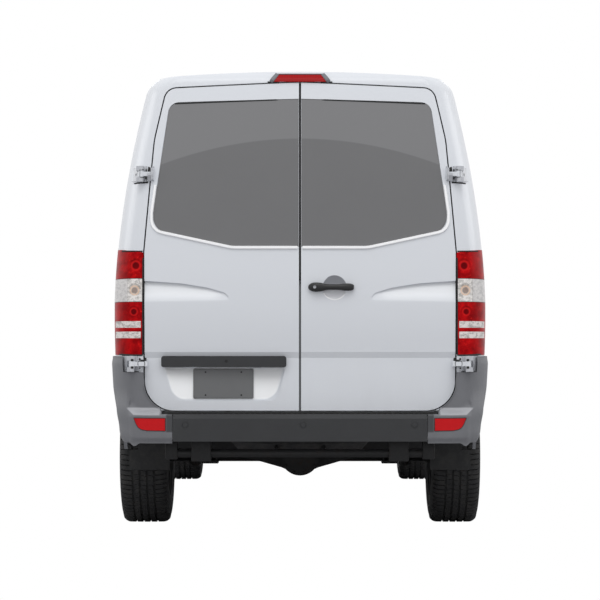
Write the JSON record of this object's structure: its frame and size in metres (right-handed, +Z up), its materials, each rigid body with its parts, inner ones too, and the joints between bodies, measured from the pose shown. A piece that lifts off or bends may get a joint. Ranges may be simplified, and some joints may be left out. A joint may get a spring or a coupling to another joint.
{
  "type": "cargo van",
  "caption": "Panel van with hinged rear cargo doors, a sliding side door, wrap-round tail lamps, a rear step bumper and a short sloping hood.",
  "frame": {"origin": "on the ground under the middle of the overall box", "axes": "+X to the vehicle's right, +Y forward, +Z up"},
  "size_m": [2.4284, 5.912, 2.4348],
  "materials": {
    "body_paint": "gloss light silver grey",
    "floor_paint": "satin",
    "board": "coated plywood",
    "tinted_glass": "dark tint",
    "cab_glass": "light tint",
    "lamp_red": "clear red",
    "lamp_clear": "clear",
    "dark_plastic": "grained",
    "grey_plastic": "grained",
    "flap_rubber": "matt",
    "plate": "matt",
    "seat_fabric": "woven",
    "chassis_black": "satin",
    "cast": "as cast",
    "exhaust_steel": "dull",
    "tank_plastic": "moulded",
    "tyre": "matt",
    "rim_paint": "silver"
  },
  "bodies": {
    "van": {"roof_panel": "body_paint", "side_panel_left": "body_paint", "side_panel_right": "body_paint", "sliding_door": "body_paint", "cab_frame": "body_paint", "wings": "body_paint", "rear_hinges": "body_paint", "floor_panel": "floor_paint", "wheel_housings": "floor_paint", "firewall": "floor_paint", "load_board": "board", "cab_windows": "cab_glass", "tail_lamps": "lamp_red", "high_brake_lamp": "lamp_red", "rear_reflectors": "lamp_red", "headlamps": "lamp_clear", "rear_bumper": "dark_plastic", "bumper_corners": "grey_plastic", "front_bumper": "grey_plastic", "grille": "dark_plastic", "side_trim": "grey_plastic", "dashboard": "dark_plastic", "mud_flaps": "flap_rubber", "seats": "seat_fabric", "chassis_frame": "chassis_black", "rear_axle": "chassis_black", "leaf_springs": "chassis_black", "front_suspension": "chassis_black", "driveline": "cast", "exhaust": "exhaust_steel", "fuel_tank": "tank_plastic", "spare_wheel": "tyre"},
    "rear_door_left": {"rear_door_left_panel": "body_paint", "rear_door_left_glass": "tinted_glass", "plate_bar": "dark_plastic", "number_plate": "plate"},
    "rear_door_right": {"rear_door_right_panel": "body_paint", "rear_door_right_glass": "tinted_glass", "rear_door_handle": "dark_plastic"},
    "front_door_left": {"front_door_left_panel": "body_paint", "front_door_left_glass": "cab_glass", "front_door_left_mirror": "dark_plastic"},
    "front_door_right": {"front_door_right_panel": "body_paint", "front_door_right_glass": "cab_glass", "front_door_right_mirror": "dark_plastic"},
    "hood": {"hood": "body_paint"},
    "knuckle_left": {"knuckle_left": "cast"},
    "knuckle_right": {"knuckle_right": "cast"},
    "wheel_rear_left": {"tyre_rear_left": "tyre", "rim_rear_left": "rim_paint"},
    "wheel_rear_right": {"tyre_rear_right": "tyre", "rim_rear_right": "rim_paint"},
    "wheel_front_left": {"tyre_front_left": "tyre", "rim_front_left": "rim_paint"},
    "wheel_front_right": {"tyre_front_right": "tyre", "rim_front_right": "rim_paint"}
  },
  "joints": [
    {"name": "wheel_rear_left_spin", "type": "hinge", "parent": "van", "child": "wheel_rear_left", "pos_m": [-0.848, -1.715, 0.38], "axis": [1, 0, 0], "continuous": true},
    {"name": "wheel_rear_right_spin", "type": "hinge", "parent": "van", "child": "wheel_rear_right", "pos_m": [0.848, -1.715, 0.38], "axis": [1, 0, 0], "continuous": true},
    {"name": "wheel_front_left_spin", "type": "hinge", "parent": "knuckle_left", "child": "wheel_front_left", "pos_m": [-0.845, 1.95, 0.38], "axis": [1, 0, 0], "continuous": true},
    {"name": "wheel_front_right_spin", "type": "hinge", "parent": "knuckle_right", "child": "wheel_front_right", "pos_m": [0.845, 1.95, 0.38], "axis": [1, 0, 0], "continuous": true},
    {"name": "steer_left", "type": "hinge", "parent": "van", "child": "knuckle_left", "pos_m": [-0.75, 1.95, 0.38], "axis": [0, 0, 1], "range_deg": [-35, 35]},
    {"name": "steer_right", "type": "hinge", "parent": "van", "child": "knuckle_right", "pos_m": [0.75, 1.95, 0.38], "axis": [0, 0, 1], "range_deg": [-35, 35]},
    {"name": "rear_door_right_swing", "type": "hinge", "parent": "van", "child": "rear_door_right", "pos_m": [0.848, -2.88103, 0.893], "axis": [-0.0414, 0.061, 0.9973], "range_deg": [0, 180]},
    {"name": "rear_door_left_swing", "type": "hinge", "parent": "van", "child": "rear_door_left", "pos_m": [-0.848, -2.88103, 0.893], "axis": [-0.0414, -0.061, -0.9973], "range_deg": [0, 180]},
    {"name": "front_door_right_swing", "type": "hinge", "parent": "van", "child": "front_door_right", "pos_m": [0.966, 1.44, 1], "axis": [0, 0, 1], "range_deg": [0, 70]},
    {"name": "front_door_left_swing", "type": "hinge", "parent": "van", "child": "front_door_left", "pos_m": [-0.966, 1.44, 1], "axis": [0, 0, -1], "range_deg": [0, 70]},
    {"name": "hood_lift", "type": "hinge", "parent": "van", "child": "hood", "pos_m": [0, 2.247, 1.378], "axis": [1, 0, 0], "range_deg": [0, 60]}
  ],
  "couplings": [
    {"joint": "steer_left", "follows": "steer_right", "ratio": 1}
  ]
}
